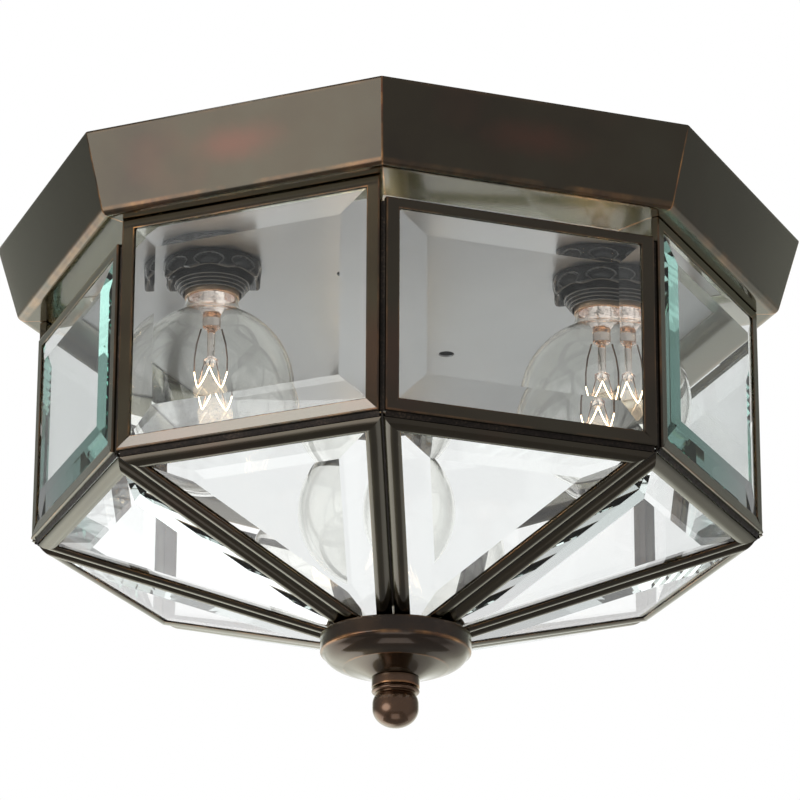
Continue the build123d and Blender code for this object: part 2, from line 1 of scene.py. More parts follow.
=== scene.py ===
import json
import math

import bmesh
import bpy
from mathutils import Matrix, Vector, noise


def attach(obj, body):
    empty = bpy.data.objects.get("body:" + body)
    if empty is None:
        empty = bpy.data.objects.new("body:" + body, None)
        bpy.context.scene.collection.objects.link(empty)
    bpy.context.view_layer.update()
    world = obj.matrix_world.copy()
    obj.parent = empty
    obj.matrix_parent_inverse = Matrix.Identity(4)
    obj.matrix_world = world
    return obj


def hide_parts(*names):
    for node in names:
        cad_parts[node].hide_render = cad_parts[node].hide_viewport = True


# Looks of the flush mount ceiling light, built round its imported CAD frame.
# Lengths are millimetres until a mesh is made; Blender gets metres.

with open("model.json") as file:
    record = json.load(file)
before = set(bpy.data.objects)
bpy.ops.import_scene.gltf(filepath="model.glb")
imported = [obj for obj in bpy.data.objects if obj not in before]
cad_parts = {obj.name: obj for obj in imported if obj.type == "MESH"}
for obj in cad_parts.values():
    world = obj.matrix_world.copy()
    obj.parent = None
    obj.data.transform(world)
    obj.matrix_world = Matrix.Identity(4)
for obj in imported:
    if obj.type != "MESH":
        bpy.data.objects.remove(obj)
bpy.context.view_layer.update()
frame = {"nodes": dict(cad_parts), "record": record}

MM = 0.001
MERGE_METRES = 1e-7
SIDES = 8
SECTOR = 360.0 / SIDES
HALF_SECTOR = math.radians(SECTOR / 2)

# Sizes shared with the CAD source; pan and cage are measured from the axis to their flats
PAN_TOP = 183.2
PAN_LOW = 172.3
PAN_OPENING = 140.0
PAN_HEIGHT = 39.0
PAN_SHEET = 0.8
PAN_LIP = 6.0
PLATE_Z = -38.2
PLATE_TOP_Z = -37.4
CAME_HALF = 2.0
CAME_WIDTH = 6.4
CAME_TOP_WIDTH = 4.8
CAME_LOWER_WIDTH = 7.4
CAME_CROWN = 0.75
CAME_SHOULDER = 0.7
CAME_LIP = 1.85
CAME_SLOT = 1.3
CAME_SLOT_SHARE = 0.4
CAME_GAP = 0.3
CAGE_APOTHEM = 326.8 / 2 - CAME_HALF
CAGE_SIDE_DEPTH = 115.6
CAGE_SEAT = 0.3
VENT_HEIGHT = 11.0
RIDGE_Z = -PAN_HEIGHT - CAGE_SIDE_DEPTH
SLOPE = math.radians(19.5)
LOWER_END = 20.0
CAP_RADIUS = 36.2
CAP_DEPTH = 20.6
FINIAL_GAP = 0.1
HOLDER_RADIUS = 107.0
HOLDERS = {"right": 67.5, "rear": 187.5, "left": 307.5}
HOLDER_THREAD = 18.0
HOLDER_RING_Z = PLATE_Z - 9.4
HOLDER_MOUTH_Z = -53.4
LAMP_TIP_Z = -27.9
LAMP_LENGTH = 112.0
GLOBE_RADIUS = 39.7
GLOBE_WALL = 0.8
NECK_RADIUS = 12.4
NECK_BLEND = 10.0
NECK_IN_BASE = 3.7
BASE_LENGTH = 27.5
LAMP_NECK_Z = LAMP_TIP_Z - BASE_LENGTH
WAVE_RADIUS = 7.8
WAVE_SPACING = 45
ROD_RADIUS = 4.85
ROD_BORE = 4.93
AXIS = Vector((0, 0, 0))

# Angles between neighbouring panels
CORNER_DIHEDRAL = math.pi - 2 * HALF_SECTOR
RIDGE_DIHEDRAL = math.pi / 2 + SLOPE
RIB_TURN = math.acos(math.sin(SLOPE) ** 2 * math.cos(2 * HALF_SECTOR) + math.cos(SLOPE) ** 2)
RIB_DIHEDRAL = math.pi - RIB_TURN


def polar(radius, azimuth, height=0.0):
    """The point at an azimuth counted from the front corner towards the right."""
    turn = math.radians(azimuth)
    return Vector((radius * math.sin(turn), -radius * math.cos(turn), height))


def rib_face_z(radius):
    """The height of the ribs' outer faces at a radius along a corner."""
    run = CAGE_APOTHEM - radius * math.cos(HALF_SECTOR)
    return RIDGE_Z - run * math.tan(SLOPE) - (CAME_HALF + CAME_CROWN) / math.cos(SLOPE)


CAP_TOP_Z = rib_face_z(CAP_RADIUS) - CAGE_SEAT
FINIAL_TOP_Z = CAP_TOP_Z - CAP_DEPTH - FINIAL_GAP


# Node trees and materials
class Nodes:
    """A node tree under construction."""

    def __init__(self, tree):
        self.tree = tree
        tree.nodes.clear()

    def add(self, kind, inputs=None, **settings):
        """A new node with its settings, and with its inputs linked or set."""
        node = self.tree.nodes.new(kind)
        for key, value in settings.items():
            setattr(node, key, value)
        for key, value in (inputs or {}).items():
            self.put(node.inputs[key], value)
        return node

    def put(self, socket, value):
        """Links an output to a socket, or sets the socket to a constant."""
        if isinstance(value, bpy.types.NodeSocket):
            self.tree.links.new(value, socket)
        else:
            socket.default_value = value

    def math(self, operation, first, second=0.0):
        return self.add("ShaderNodeMath", {0: first, 1: second}, operation=operation).outputs[0]

    def span(self, value, low, high, to_low=0.0, to_high=1.0, kind="LINEAR"):
        """A value's range mapped to another and held at its ends."""
        ends = {"From Min": low, "From Max": high, "To Min": to_low, "To Max": to_high}
        node = self.add("ShaderNodeMapRange", {"Value": value, **ends}, interpolation_type=kind)
        return node.outputs["Result"]

    def blend(self, factor, first, second):
        """Two shaders mixed."""
        node = self.add("ShaderNodeMixShader", {"Fac": factor})
        self.put(node.inputs[1], first)
        self.put(node.inputs[2], second)
        return node.outputs[0]


class Shader(Nodes):
    """A node material under construction."""

    def __init__(self, name):
        self.material = bpy.data.materials.new(name)
        self.material.use_nodes = True
        super().__init__(self.material.node_tree)
        self.output = self.add("ShaderNodeOutputMaterial")
        self.place = self.add("ShaderNodeTexCoord").outputs["Object"]

    def surface(self, shader):
        self.put(self.output.inputs["Surface"], shader)

    def noise(self, scale, detail=4.0, roughness=0.55, where=None):
        look = {"Vector": where or self.place, "Scale": scale, "Detail": detail, "Roughness": roughness}
        return self.add("ShaderNodeTexNoise", look).outputs["Fac"]

    def stretched(self, x, y, z):
        """Object coordinates scaled per axis, for grain with a direction."""
        return self.add("ShaderNodeMapping", {"Vector": self.place, "Scale": (x, y, z)}).outputs[0]

    def value(self, name):
        """A number kept on the mesh's points."""
        return self.add("ShaderNodeAttribute", attribute_name=name).outputs["Fac"]

    def ramp(self, factor, *stops):
        """A colour ramp; a stop is its position and colour."""
        node = self.add("ShaderNodeValToRGB", {"Fac": factor})
        elements = node.color_ramp.elements
        while len(elements) < len(stops):
            elements.new(0.5)
        for element, (position, colour) in zip(elements, stops):
            element.position = position
            element.color = (*colour, 1.0)
        return node.outputs["Color"]

    def mix(self, factor, first, second):
        """Two colours mixed."""
        node = self.add("ShaderNodeMix", data_type="RGBA")
        self.put(node.inputs["Factor"], factor)
        self.put(node.inputs[6], first)
        self.put(node.inputs[7], second)
        return node.outputs[2]

    def bump(self, height, strength, distance):
        inputs = {"Height": height, "Strength": strength, "Distance": distance}
        return self.add("ShaderNodeBump", inputs).outputs["Normal"]

    def principled(self, **inputs):
        """The principled shader; inputs are named with _ for each space."""
        named = {key.replace("_", " "): value for key, value in inputs.items()}
        return self.add("ShaderNodeBsdfPrincipled", named).outputs[0]


def rgb(red, green, blue):
    """A colour for a socket."""
    return (red, green, blue, 1.0)


def grey(level):
    """A neutral colour for a ramp's stop."""
    return (level, level, level)


def blush_factor(shader, streak, middle):
    """A ragged patch, three times as long as it is high, that fades out round a point."""
    flatten, raggedness, full, gone, strength = 3.0, 24.0 * MM, 10.0 * MM, 48.0 * MM, 0.85
    squat = shader.stretched(1, 1, flatten)
    target = Vector((middle.x, middle.y, middle.z * flatten)) * MM
    away = shader.add("ShaderNodeVectorMath", {0: squat, 1: target}, operation="DISTANCE").outputs["Value"]
    ragged = shader.math("ADD", away, shader.math("MULTIPLY", streak, raggedness))
    return shader.span(ragged, full, gone, strength, 0.0, "SMOOTHSTEP")


def bronze(name, redness=0.0, sheen_lift=1.0, blushes=()):
    """Dark olive-brown patina under clear lacquer, with copper showing where the edges are rubbed.

    Redness warms it, and the lift lightens it as a painted sheen. Round each blush, a point, it turns a faint
    red.
    """
    shader = Shader(name)
    cloud = shader.noise(18, 5, 0.6)
    streak = shader.noise(75, 4, 0.65)
    grain = shader.noise(700, 2)
    dark = (0.038, 0.026 - 0.008 * redness, 0.014)
    middle = (0.051 + 0.03 * redness, 0.038, 0.020)
    light = (0.059 + 0.04 * redness, 0.049, 0.029)
    # The lift lightens all three shades, a painted sheen.
    shades = [tuple(value * sheen_lift for value in shade) for shade in (dark, middle, light)]
    patina = shader.ramp(cloud, *zip((0.30, 0.50, 0.72), shades))
    warm = shader.span(shader.noise(12, 3), 0.53, 0.72, 0.0, 0.5)
    for blush in blushes:
        warm = shader.math("MAXIMUM", warm, blush_factor(shader, streak, blush))
    patina = shader.mix(warm, patina, rgb(0.105, 0.042, 0.025))
    worn = shader.math("MULTIPLY", shader.value("rub_and_highlight"), shader.span(shader.noise(30, 4, 0.65), 0.42, 0.66))
    copper = shader.ramp(streak, (0.38, (0.26, 0.095, 0.042)), (0.62, (0.62, 0.31, 0.115)))
    dull = shader.math("ADD", cloud, shader.math("MULTIPLY", grain, 0.3))
    relief = shader.math("ADD", shader.math("MULTIPLY", grain, 0.15), streak)
    shader.surface(
        shader.principled(
            Base_Color=shader.mix(worn, patina, copper),
            Metallic=1.0,
            Specular_Tint=rgb(0.93, 0.97, 0.80),
            Roughness=shader.span(dull, 0.4, 0.9, 0.20, 0.27),
            Coat_Weight=1.0,
            Coat_Roughness=0.09,
            Coat_Tint=rgb(1.0, 0.99, 0.93),
            Normal=shader.bump(relief, 0.05, 0.0003),
        )
    )
    return shader.material


def solder():
    """Dark patina over granular solder, with bare grains."""
    shader = Shader("solder_rough")
    lump = shader.noise(900, 4, 0.7)
    cloud = shader.noise(60, 3)
    shade = shader.math("ADD", shader.math("MULTIPLY", lump, 0.7), shader.math("MULTIPLY", cloud, 0.3))
    colour = shader.ramp(
        shade, (0.40, (0.012, 0.009, 0.007)), (0.56, (0.034, 0.025, 0.019)), (0.70, (0.15, 0.105, 0.075))
    )
    shader.surface(
        shader.principled(
            Base_Color=colour,
            Metallic=0.6,
            Roughness=shader.span(lump, 0.3, 0.7, 0.35, 0.6),
            Normal=shader.bump(lump, 0.6, 0.0004),
        )
    )
    return shader.material


def clear_glass(name, tint, ior, depth=None, lumps=(14, 0.04)):
    """Refracting glass that lets the lamps' light through to what is behind it.

    Depth is the colour and density of its inside, and lumps the scale and strength of its waves.
    """
    shader = Shader(name)
    scale, strength = lumps
    wavy = shader.bump(shader.noise(scale, 2, 0.4), strength, 0.0004)
    look = {"Color": tint, "Roughness": 0.0, "IOR": ior, "Normal": wavy}
    glass = shader.add("ShaderNodeBsdfGlass", look).outputs[0]
    through = shader.add("ShaderNodeBsdfTransparent", {"Color": tint}).outputs[0]
    path = shader.add("ShaderNodeLightPath").outputs
    unseen = shader.math("MAXIMUM", path["Is Shadow Ray"], path["Is Diffuse Ray"])
    shader.surface(shader.blend(unseen, glass, through))
    if depth:
        colour, density = depth
        body = shader.add("ShaderNodeVolumeAbsorption", {"Color": colour, "Density": density})
        shader.put(shader.output.inputs["Volume"], body.outputs[0])
    return shader.material


def reflector():
    """Satin sheet with faint rolling marks and smudges."""
    shader = Shader("reflector_satin")
    roll = shader.noise(1.0, 3, 0.6, shader.stretched(900, 40, 40))
    smudge = shader.noise(14, 4, 0.6)
    shader.surface(
        shader.principled(
            Base_Color=shader.ramp(smudge, (0.1, grey(0.32)), (0.9, grey(0.40))),
            Metallic=0.85,
            Roughness=shader.span(smudge, 0.1, 0.9, 0.285, 0.325),
            Normal=shader.bump(roll, 0.02, 0.00005),
        )
    )
    return shader.material


def phenolic():
    """Glossy black moulding with a slight orange-peel skin, and grey painted highlights along its marked
    edges.
    """
    shader = Shader("phenolic_black")
    skin = shader.noise(500, 3)
    cloud = shader.noise(60, 3)
    black = shader.ramp(cloud, (0.3, grey(0.005)), (0.7, grey(0.010)))
    shader.surface(
        shader.principled(
            # Painted highlight: grey laid on the marked dent rims and step edges stands in for light caught
            # there.
            Base_Color=shader.mix(shader.value("rub_and_highlight"), black, rgb(0.16, 0.16, 0.155)),
            Specular_IOR_Level=0.35,
            Roughness=shader.span(cloud, 0.3, 0.7, 0.12, 0.20),
            Normal=shader.bump(skin, 0.03, 0.0001),
        )
    )
    return shader.material


def bright_metal(name, dark, light, rough):
    """Plated metal with fine turning marks and dulling."""
    shader = Shader(name)
    cloud = shader.noise(90, 4)
    marks = shader.noise(1.0, 2, 0.5, shader.stretched(60, 60, 2200))
    shader.surface(
        shader.principled(
            Base_Color=shader.ramp(cloud, (0.3, dark), (0.7, light)),
            Metallic=1.0,
            Roughness=shader.span(shader.math("ADD", cloud, marks), 0.6, 1.4, rough, rough + 0.15),
            Normal=shader.bump(marks, 0.08, 0.0001),
        )
    )
    return shader.material


def glowing(name, strength):
    """Incandescent wire, a little cooler in places."""
    shader = Shader(name)
    heat = shader.noise(300, 2)
    shader.surface(
        shader.principled(
            Base_Color=rgb(0.9, 0.6, 0.35),
            Emission_Color=shader.ramp(heat, (0.3, (1.0, 0.70, 0.40)), (0.7, (1.0, 0.86, 0.64))),
            Emission_Strength=strength,
            Roughness=shader.span(heat, 0.3, 0.7, 0.4, 0.6),
        )
    )
    return shader.material


WHITE = rgb(1, 1, 1)
PANE_EDGE = rgb(0.2, 0.77, 0.64)
# Faint red patches, centred on the two front facets of the pan.
BLUSH_RADIUS = 178.5
BLUSH_Z = -17.5
PAN_BLUSHES = [polar(BLUSH_RADIUS, side * SECTOR / 2, BLUSH_Z) for side in (-1, 1)]
MATERIALS = {
    "bronze": bronze("bronze_patina"),
    "pan_bronze": bronze("bronze_patina_pan", blushes=PAN_BLUSHES),
    "warm_bronze": bronze("bronze_patina_warm", redness=0.5),
    # The finial's copy is warmed to its redder tone and lifted lighter as a painted sheen.
    "red_bronze_painted_sheen": bronze("bronze_red_painted_sheen", redness=0.8, sheen_lift=1.8),
    "solder": solder(),
    "pane_glass": clear_glass("pane_glass", WHITE, ior=1.5, depth=(PANE_EDGE, 6.5)),
    "thin_glass": clear_glass("lower_pane_glass", WHITE, ior=1.5, depth=(PANE_EDGE, 1.5)),
    "bulb_glass": clear_glass("bulb_glass", rgb(0.995, 0.995, 0.985), ior=1.45),
    "stem_glass": clear_glass("stem_glass", rgb(0.985, 0.945, 0.93), ior=1.5, lumps=(420, 0.55)),
    "filament": glowing("filament_lit", strength=9.0),
    "lamp_wire": bright_metal("lamp_wire_dark", (0.08, 0.055, 0.045), (0.20, 0.14, 0.11), 0.35),
    "lamp_brass": bright_metal("lamp_nickel_brass", (0.36, 0.25, 0.17), (0.50, 0.38, 0.27), 0.28),
    "phenolic": phenolic(),
    "reflector": reflector(),
    "steel": bright_metal("zinc_steel", (0.30, 0.27, 0.22), (0.46, 0.42, 0.35), 0.3),
}


def dress_cad():
    """Gives the CAD meshes the look of their slot, and the lower panes that of paler glass."""
    for row in frame["record"]["subparts"]:
        look = "thin_glass" if row["node"].startswith("lower_pane") else row["material_slot"]
        materials = frame["nodes"][row["node"]].data.materials
        materials.clear()
        materials.append(MATERIALS[look])


# Mesh building
class Build:
    """Points, faces and edge marks of one piece in the making: copper wear on bronze, painted highlights on
    the black moulding.
    """

    def __init__(self):
        self.points = []
        self.faces = []
        self.rubs_and_highlights = []

    def loft(self, rings, rubs_and_highlights, wrap=False, open_section=False):
        """Skins a row of sections; wrap joins the last to the first, otherwise the ends are closed."""
        base = len(self.points)
        size = len(rings[0])
        for ring, rub_and_highlight in zip(rings, rubs_and_highlights):
            self.points += ring
            self.rubs_and_highlights += rub_and_highlight
        for i in range(len(rings) if wrap else len(rings) - 1):
            near = base + i * size
            far = base + (i + 1) % len(rings) * size
            for j in range(size - 1 if open_section else size):
                k = (j + 1) % size
                self.faces.append((near + j, near + k, far + k, far + j))
        if not wrap:
            end = base + (len(rings) - 1) * size
            self.faces.append(tuple(range(base, base + size)))
            self.faces.append(tuple(range(end + size - 1, end - 1, -1)))

    def turn(self, outline, place, segments=96, limit=None, open_section=False):
        """Turns an outline of radius, height and rub about an upright axis."""
        rings, rubs_and_highlights = [], []
        for i in range(segments):
            angle = 360.0 * i / segments
            ring = []
            for radius, height, _ in outline:
                reach = min(radius, limit(angle)) if limit else radius
                ring.append(place + polar(reach, angle, height))
            rings.append(ring)
            rubs_and_highlights.append([rub_and_highlight for _, _, rub_and_highlight in outline])
        self.loft(rings, rubs_and_highlights, wrap=True, open_section=open_section)

    def tube(self, points, radius, sides=8):
        """A round wire along a line of points."""
        rings = []
        side = None
        for i, point in enumerate(points):
            along = (points[min(i + 1, len(points) - 1)] - points[max(i - 1, 0)]).normalized()
            if side is None:
                side = along.orthogonal()
            side = (side - along * side.dot(along)).normalized()
            other = along.cross(side)
            turns = [2 * math.pi * j / sides for j in range(sides)]
            rings.append([point + (side * math.cos(t) + other * math.sin(t)) * radius for t in turns])
        self.loft(rings, [[0.0] * sides] * len(rings))

    def finish(self, name, body, slot, replaced=(), smooth=40.0, look=None):
        """Makes the object, on its body and in place of its CAD nodes, with its slot's look or another."""
        mesh = bpy.data.meshes.new(name)
        mesh.from_pydata([point * MM for point in self.points], [], self.faces)
        # Edge marks on the points: copper wear on bronze, painted highlights on the black moulding.
        mesh.attributes.new("rub_and_highlight", "FLOAT", "POINT").data.foreach_set("value", self.rubs_and_highlights)
        work = bmesh.new()
        work.from_mesh(mesh)
        bmesh.ops.remove_doubles(work, verts=work.verts, dist=MERGE_METRES)
        bmesh.ops.recalc_face_normals(work, faces=work.faces)
        for face in work.faces:
            face.smooth = True
        work.to_mesh(mesh)
        work.free()
        mesh.set_sharp_from_angle(angle=math.radians(smooth))
        mesh.materials.append(MATERIALS[look or slot])
        piece = bpy.data.objects.new(name, mesh)
        bpy.context.scene.collection.objects.link(piece)
        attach(piece, body)
        if replaced:
            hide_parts(*replaced)


def soft(corners, steps=4, margin=0.7, closed=True):
    """An outline of x, y and edge mark with rounded corners.

    A corner is x, y and, where they aren't nothing, its radius and edge mark: copper wear on bronze, a
    painted highlight on the black moulding. A mark ends a margin beyond the round, where the side is long
    enough for both.
    """
    side_share = 0.45
    outline = []
    last = len(corners) - 1
    for i, corner in enumerate(corners):
        x, y, radius, rub_and_highlight = (*corner, 0.0, 0.0)[:4]
        if radius == 0 or not closed and i in (0, last):
            outline.append((x, y, rub_and_highlight))
            continue
        here = Vector((x, y))
        before = Vector(corners[i - 1][:2]) - here
        after = Vector(corners[(i + 1) % len(corners)][:2]) - here
        reach = radius / math.tan(before.angle(after) / 2)
        back = min(reach, side_share * before.length)
        on = min(reach, side_share * after.length)
        start = here + before.normalized() * back
        end = here + after.normalized() * on
        if rub_and_highlight and back + margin < 0.5 * before.length:
            outline.append((*(start + before.normalized() * margin), 0.0))
        for k in range(steps + 1):
            t = k / steps
            point = start * (1 - t) ** 2 + here * 2 * t * (1 - t) + end * t**2
            outline.append((*point, rub_and_highlight))
        if rub_and_highlight and on + margin < 0.5 * after.length:
            outline.append((*(end + after.normalized() * margin), 0.0))
    return outline


def curve(start, middle, end, steps):
    """Points of a quadratic curve through its middle, without its ends, as plain corners."""
    start, middle, end = Vector(start), Vector(middle), Vector(end)
    handle = middle * 2 - (start + end) / 2
    row = []
    for k in range(1, steps):
        t = k / steps
        point = start * (1 - t) ** 2 + handle * 2 * t * (1 - t) + end * t**2
        row.append((point.x, point.y))
    return row


# Pieces of the light
def make_pan():
    """The folded tray with soft folds, brazed corners and a copper rub along both."""
    slant = 1.04
    wall_top, wall_low = PAN_TOP - PAN_SHEET * slant, PAN_LOW - 0.6
    fold, fold_rub = 4.0, 0.32
    rim, rim_rub = 1.0, 0.12
    corner_reach, corner_rub = 0.6, 2.2
    outline = soft(
        [
            (PAN_OPENING, -PAN_HEIGHT, 0.2),
            (PAN_LOW, -PAN_HEIGHT, fold, fold_rub),
            (PAN_TOP, 0.0, rim, rim_rub),
            (PAN_TOP - PAN_LIP, 0.0, 0.2),
            (PAN_TOP - PAN_LIP, -PAN_SHEET, 0.2),
            (wall_top, -PAN_SHEET, 0.4),
            (wall_low, -PAN_HEIGHT + PAN_SHEET, fold - PAN_SHEET),
            (PAN_OPENING, -PAN_HEIGHT + PAN_SHEET, 0.2),
        ],
        steps=6,
        margin=1.0,
    )
    plain = [rub_and_highlight for _, _, rub_and_highlight in outline]
    worn = [max(rub_and_highlight, corner_rub) for rub_and_highlight in plain]
    rings, rubs_and_highlights = [], []
    for k in range(SIDES):
        azimuth = SECTOR * k
        before = polar(corner_reach, azimuth - SECTOR / 2 + 90)
        after = polar(corner_reach, azimuth + SECTOR / 2 + 90)
        corners = [polar(r / math.cos(HALF_SECTOR), azimuth, z) for r, z, _ in outline]
        rings.append([corner - before for corner in corners])
        rings.append([corner + (after - before) / 4 for corner in corners])
        rings.append([corner + after for corner in corners])
        rubs_and_highlights += [plain, worn, plain]
    build = Build()
    build.loft(rings, rubs_and_highlights, wrap=True)
    build.finish("pan_skin", "base", "bronze", ["ceiling_pan"], smooth=30, look="pan_bronze")


def inset(corners, distances):
    """The corners of a convex outline after each side moves inwards by its own distance."""
    moved = []
    for i, corner in enumerate(corners):
        before = (corner - corners[i - 1]).normalized()
        after = (corners[(i + 1) % len(corners)] - corner).normalized()
        turn = before.x * after.y - before.y * after.x
        moved.append(corner + (after * distances[i - 1] - before * distances[i]) / turn)
    return moved


def back_offset(dihedral):
    """How far a came's back stays from the line where two panels' middles meet."""
    return CAME_HALF / math.tan(dihedral / 2) + CAME_GAP / 2 / math.sin(dihedral / 2)


def side_outline(top):
    """The outer edge of an upright frame whose top is this far above the ridge."""
    half = CAGE_APOTHEM * math.tan(HALF_SECTOR)
    corners = [Vector((-half, 0)), Vector((half, 0)), Vector((half, top)), Vector((-half, top))]
    corner = back_offset(CORNER_DIHEDRAL)
    return inset(corners, [back_offset(RIDGE_DIHEDRAL), corner, 0, corner])


def lower_outline():
    """The outer edge of a lower frame, from the ridge down to its narrow end."""
    half_top = CAGE_APOTHEM * math.tan(HALF_SECTOR)
    half_end = LOWER_END * math.tan(HALF_SECTOR)
    length = (CAGE_APOTHEM - LOWER_END) / math.cos(SLOPE)
    corners = [
        Vector((-half_end, -length)),
        Vector((half_end, -length)),
        Vector((half_top, 0)),
        Vector((-half_top, 0)),
    ]
    rib = back_offset(RIB_DIHEDRAL)
    return inset(corners, [0, rib, back_offset(RIDGE_DIHEDRAL), rib])


def flat_section(width, sill=0.0):
    """The upright frames' channel; a sill leans its face up towards the glass."""
    slot = CAME_SLOT_SHARE * width
    return soft(
        [
            (0, -CAME_HALF, 0.5),
            (width, -CAME_HALF, 0.3),
            (width, -CAME_SLOT, 0.1),
            (slot, -CAME_SLOT),
            (slot, CAME_SLOT),
            (width, CAME_SLOT, 0.1),
            (width, CAME_HALF - sill / 2, 0.35, 0.45),
            (0, CAME_HALF + sill / 2, 0.6, 0.35),
        ],
        steps=3,
        margin=0.3,
    )


def crowned_section(width):
    """The lower frames' channel with its rounded face."""
    slot = CAME_SLOT_SHARE * width
    lip = (width, CAME_LIP)
    crest = (width / 2, CAME_HALF + CAME_CROWN)
    shoulder = (0, CAME_SHOULDER - 0.6)
    return soft(
        [
            (0, -CAME_HALF, 0.5),
            (width, -CAME_HALF, 0.3),
            (width, -CAME_SLOT, 0.1),
            (slot, -CAME_SLOT),
            (slot, CAME_SLOT - 0.5),
            (width, CAME_SLOT, 0.1),
            (*lip, 0.3, 0.5),
            *curve(lip, crest, shoulder, 9),
            (*shoulder, 0.4),
        ],
        steps=3,
        margin=0.3,
    )


def came_frame(build, outline, widths, sections, place):
    """Four mitred strips of came round an outline, each a little uneven along its length.

    The rub doubles towards the mitres, over the last twelfth of a strip.
    """
    stations, joint, worn_ends = 14, 0.01, 12
    unevenness, uneven_scale = 0.06, 0.06
    mouths = inset(outline, widths)
    for i, section in enumerate(sections):
        after = (i + 1) % len(outline)
        short = joint / (outline[after] - outline[i]).length
        rings, rubs_and_highlights = [], []
        for k in range(stations + 1):
            t = short + (1 - 2 * short) * k / stations
            end = max(0.0, 1 - worn_ends * min(t, 1 - t))
            ring, rub_and_highlight = [], []
            for across, height, worn in section:
                share = across / widths[i]
                start = outline[i].lerp(mouths[i], share)
                stop = outline[after].lerp(mouths[after], share)
                spot = start.lerp(stop, t)
                uneven = 0.0
                if height > CAME_SHOULDER:
                    point = place(spot.x, spot.y, height)
                    uneven = unevenness * noise.noise(point * uneven_scale)
                ring.append(place(spot.x, spot.y, height + uneven))
                rub_and_highlight.append(worn * (1 + end))
            rings.append(ring)
            rubs_and_highlights.append(rub_and_highlight)
        build.loft(rings, rubs_and_highlights)


def make_cage_frames():
    """The sixteen came frames of the cage."""
    side_widths = [CAME_WIDTH, CAME_WIDTH, CAME_TOP_WIDTH, CAME_WIDTH]
    side_sections = [flat_section(width) for width in side_widths]
    side_sections[0] = flat_section(CAME_WIDTH, sill=0.8)
    lower_widths = [CAME_LOWER_WIDTH] * 4
    lower_sections = [crowned_section(CAME_LOWER_WIDTH)] * 4
    for i in range(SIDES):
        azimuth = SECTOR * (i + 0.5)
        origin = polar(CAGE_APOTHEM, azimuth, RIDGE_Z)
        right = polar(1, azimuth + 90)
        out = polar(1, azimuth)
        down = polar(math.sin(SLOPE), azimuth, -math.cos(SLOPE))
        rise = down.cross(right)
        top = CAGE_SIDE_DEPTH - (CAGE_SEAT if i % 2 else VENT_HEIGHT)

        def on_side(x, y, h):
            return origin + right * x + Vector((0, 0, y)) + out * h

        def on_lower(x, y, h):
            return origin + right * x + rise * y + down * h

        build = Build()
        came_frame(build, side_outline(top), side_widths, side_sections, on_side)
        build.finish(f"side_came_{i + 1}", "cage", "bronze", [f"side_frame_{i + 1}"])
        build = Build()
        came_frame(build, lower_outline(), lower_widths, lower_sections, on_lower)
        build.finish(f"lower_came_{i + 1}", "cage", "bronze", [f"lower_frame_{i + 1}"])


def solder_run(build, start, end, outward, dihedral, fills, bulge, grain):
    """A granular fill between two cames' backs, up to a height on each of them, bulging between."""
    station, steps = 0.9, 5
    clearance, depth = 0.03, -1.6
    coarse, fine, fine_share, edge_share = 0.55, 1.3, 0.6, 0.3
    along = (end - start).normalized()
    across = along.cross(outward).normalized()
    back = back_offset(dihedral)
    cosine, sine = math.cos(dihedral / 2), math.sin(dihedral / 2)
    count = max(2, int((end - start).length / station))

    def groove(height):
        return -back * cosine + height * sine, back * sine + height * cosine - clearance

    low_x, low_y = groove(depth)
    (x0, y0), (x1, y1) = groove(fills[0]), groove(fills[1])
    rings = []
    for i in range(count + 1):
        spot = start.lerp(end, i / count)
        ring = [spot + outward * low_x - across * low_y, spot + outward * low_x + across * low_y]
        for k in range(steps + 1):
            t = k / steps
            y = y0 * (1 - t) - y1 * t
            x = x0 * (1 - t) + x1 * t + bulge * 4 * t * (1 - t)
            point = spot + across * y
            lump = noise.noise(point * coarse) + fine_share * noise.noise(point * fine)
            edge = edge_share if k in (0, steps) else 1.0
            ring.append(point + outward * (x + grain * lump * edge))
        rings.append(ring)
    build.loft(rings, [[0.0] * len(rings[0])] * len(rings))


def make_solder():
    """The soldered grooves outside the cage: corners, ridges and ribs."""
    build = Build()
    corner = CAGE_APOTHEM / math.cos(HALF_SECTOR)
    short = 1.5
    corner_low, corner_high = RIDGE_Z + short, -PAN_HEIGHT - VENT_HEIGHT - short
    ridge_short = 0.6
    end_radius = CAP_RADIUS + 1.0
    end_z = RIDGE_Z - (CAGE_APOTHEM - end_radius * math.cos(HALF_SECTOR)) * math.tan(SLOPE)
    for i in range(SIDES):
        azimuth = SECTOR * i
        before, after = azimuth - SECTOR / 2, azimuth + SECTOR / 2
        start, end = polar(corner, azimuth, corner_low), polar(corner, azimuth, corner_high)
        outward = polar(1, azimuth)
        solder_run(build, start, end, outward, CORNER_DIHEDRAL, fills=(0.2, 0.2), bulge=-0.3, grain=0.10)
        start = polar(corner, azimuth + ridge_short, RIDGE_Z)
        end = polar(corner, azimuth + SECTOR - ridge_short, RIDGE_Z)
        outward = polar(1 + math.sin(SLOPE), after, -math.cos(SLOPE)).normalized()
        solder_run(build, start, end, outward, RIDGE_DIHEDRAL, fills=(0.1, -0.5), bulge=0.1, grain=0.20)
        start, end = polar(corner, azimuth, RIDGE_Z), polar(end_radius, azimuth, end_z)
        faces = [polar(math.sin(SLOPE), side, -math.cos(SLOPE)) for side in (before, after)]
        outward = (faces[0] + faces[1]).normalized()
        solder_run(build, start, end, outward, RIB_DIHEDRAL, fills=(0.2, 0.2), bulge=0.0, grain=0.06)
    build.finish("solder_runs", "cage", "solder", ["solder_seams"], smooth=60)


